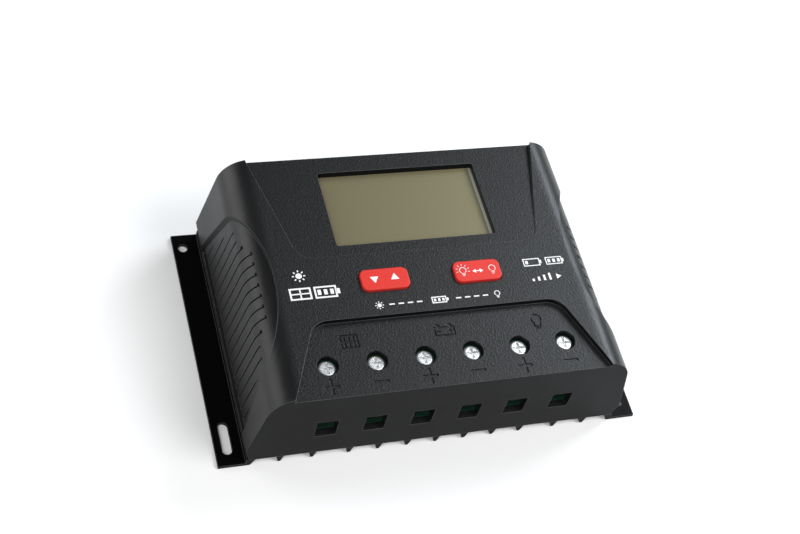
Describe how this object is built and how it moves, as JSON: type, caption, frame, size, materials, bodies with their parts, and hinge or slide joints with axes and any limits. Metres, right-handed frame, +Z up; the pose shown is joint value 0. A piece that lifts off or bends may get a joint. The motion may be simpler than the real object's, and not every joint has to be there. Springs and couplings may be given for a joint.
{
  "type": "charge controller",
  "caption": "Flat finned base with mounting flanges under a sloping black housing with a display, two red keys and a row of cable terminals.",
  "frame": {"origin": "middle of the footprint in the plane that the flanges rest on", "axes": "+X to the right as the keys are read, +Y towards the display end, +Z up from the mounting surface"},
  "size_m": [0.188, 0.1192, 0.053],
  "materials": {
    "bead_blue": "dipped bead",
    "black_anodised": "satin black anodised extrusion",
    "black_steel": "black oxide",
    "board_green": "glass-epoxy with green solder resist",
    "brass_standoff": "turned brass",
    "cage_steel": "zinc-plated steel",
    "can_sleeve": "sleeved aluminium can",
    "epoxy_black": "moulded epoxy",
    "ferrite_grey": "ferrite",
    "fuse_amber": "translucent moulding",
    "header_black": "black moulding",
    "holder_white": "white moulding",
    "housing_plastic": "black moulded plastic, fine spark-eroded texture",
    "key_red": "satin red moulding",
    "lcd_glass": "olive grey display glass with a polariser",
    "led_white": "white package",
    "light_guide": "clear acrylic",
    "pad_grey": "silicone pad",
    "shunt_alloy": "bare resistance alloy",
    "strip_rubber": "conductive elastomer",
    "switch_black": "black moulding",
    "terminal_green": "green moulding",
    "tinned_copper": "tin plate over copper",
    "zinc_steel": "bright zinc plate"
  },
  "bodies": {
    "controller": {"base_heatsink": "black_anodised", "blade_fuses": "fuse_amber", "board_header": "header_black", "board_screws": "zinc_steel", "board_standoffs": "brass_standoff", "contact_bars": "tinned_copper", "current_shunts": "shunt_alloy", "display_board": "board_green", "display_board_screws": "zinc_steel", "driver_chips": "epoxy_black", "fuse_holders": "header_black", "housing_screws": "black_steel", "insulator_pad": "pad_grey", "lcd_contact_strip": "strip_rubber", "lcd_glass": "lcd_glass", "lcd_holder": "holder_white", "lcd_light_guide": "light_guide", "lcd_light_leds": "led_white", "main_board": "board_green", "microcontroller": "epoxy_black", "power_transistors": "epoxy_black", "smoothing_capacitors": "can_sleeve", "supply_coil": "ferrite_grey", "surge_diodes": "epoxy_black", "switch_bodies": "switch_black", "temperature_sensor": "bead_blue", "terminal_module_1": "terminal_green", "terminal_module_2": "terminal_green", "terminal_module_3": "terminal_green", "terminal_module_4": "terminal_green", "terminal_module_5": "terminal_green", "terminal_module_6": "terminal_green", "transistor_screws": "zinc_steel", "upper_housing": "housing_plastic"},
    "select_key": {"select_button": "key_red", "select_switch_plunger": "switch_black"},
    "load_key": {"load_button": "key_red", "load_switch_plunger": "switch_black"},
    "screw_1": {"terminal_screw_1": "zinc_steel"},
    "cage_1": {"clamp_cage_1": "cage_steel"},
    "screw_2": {"terminal_screw_2": "zinc_steel"},
    "cage_2": {"clamp_cage_2": "cage_steel"},
    "screw_3": {"terminal_screw_3": "zinc_steel"},
    "cage_3": {"clamp_cage_3": "cage_steel"},
    "screw_4": {"terminal_screw_4": "zinc_steel"},
    "cage_4": {"clamp_cage_4": "cage_steel"},
    "screw_5": {"terminal_screw_5": "zinc_steel"},
    "cage_5": {"clamp_cage_5": "cage_steel"},
    "screw_6": {"terminal_screw_6": "zinc_steel"},
    "cage_6": {"clamp_cage_6": "cage_steel"}
  },
  "joints": [
    {"name": "select_key_press", "type": "slide", "parent": "controller", "child": "select_key", "axis": [0, 0.038, -0.9993], "range_m": [0, 0.0008], "stiffness_N_per_m": 500, "springref_m": -0.0006},
    {"name": "load_key_press", "type": "slide", "parent": "controller", "child": "load_key", "axis": [0, 0.038, -0.9993], "range_m": [0, 0.0008], "stiffness_N_per_m": 500, "springref_m": -0.0006},
    {"name": "screw_1_turn", "type": "hinge", "parent": "controller", "child": "screw_1", "pos_m": [-0.05155, -0.0446, 0.042], "axis": [0, 0, -1], "range_deg": [0, 3600]},
    {"name": "cage_1_rise", "type": "slide", "parent": "controller", "child": "cage_1", "axis": [0, 0, 1], "range_m": [0, 0.008]},
    {"name": "screw_2_turn", "type": "hinge", "parent": "controller", "child": "screw_2", "pos_m": [-0.03093, -0.0446, 0.042], "axis": [0, 0, -1], "range_deg": [0, 3600]},
    {"name": "cage_2_rise", "type": "slide", "parent": "controller", "child": "cage_2", "axis": [0, 0, 1], "range_m": [0, 0.008]},
    {"name": "screw_3_turn", "type": "hinge", "parent": "controller", "child": "screw_3", "pos_m": [-0.01031, -0.0446, 0.042], "axis": [0, 0, -1], "range_deg": [0, 3600]},
    {"name": "cage_3_rise", "type": "slide", "parent": "controller", "child": "cage_3", "axis": [0, 0, 1], "range_m": [0, 0.008]},
    {"name": "screw_4_turn", "type": "hinge", "parent": "controller", "child": "screw_4", "pos_m": [0.01031, -0.0446, 0.042], "axis": [0, 0, -1], "range_deg": [0, 3600]},
    {"name": "cage_4_rise", "type": "slide", "parent": "controller", "child": "cage_4", "axis": [0, 0, 1], "range_m": [0, 0.008]},
    {"name": "screw_5_turn", "type": "hinge", "parent": "controller", "child": "screw_5", "pos_m": [0.03093, -0.0446, 0.042], "axis": [0, 0, -1], "range_deg": [0, 3600]},
    {"name": "cage_5_rise", "type": "slide", "parent": "controller", "child": "cage_5", "axis": [0, 0, 1], "range_m": [0, 0.008]},
    {"name": "screw_6_turn", "type": "hinge", "parent": "controller", "child": "screw_6", "pos_m": [0.05155, -0.0446, 0.042], "axis": [0, 0, -1], "range_deg": [0, 3600]},
    {"name": "cage_6_rise", "type": "slide", "parent": "controller", "child": "cage_6", "axis": [0, 0, 1], "range_m": [0, 0.008]}
  ],
  "couplings": [
    {"joint": "screw_1_turn", "follows": "cage_1_rise", "rad_per_m": 7854},
    {"joint": "screw_2_turn", "follows": "cage_2_rise", "rad_per_m": 7854},
    {"joint": "screw_3_turn", "follows": "cage_3_rise", "rad_per_m": 7854},
    {"joint": "screw_4_turn", "follows": "cage_4_rise", "rad_per_m": 7854},
    {"joint": "screw_5_turn", "follows": "cage_5_rise", "rad_per_m": 7854},
    {"joint": "screw_6_turn", "follows": "cage_6_rise", "rad_per_m": 7854}
  ]
}
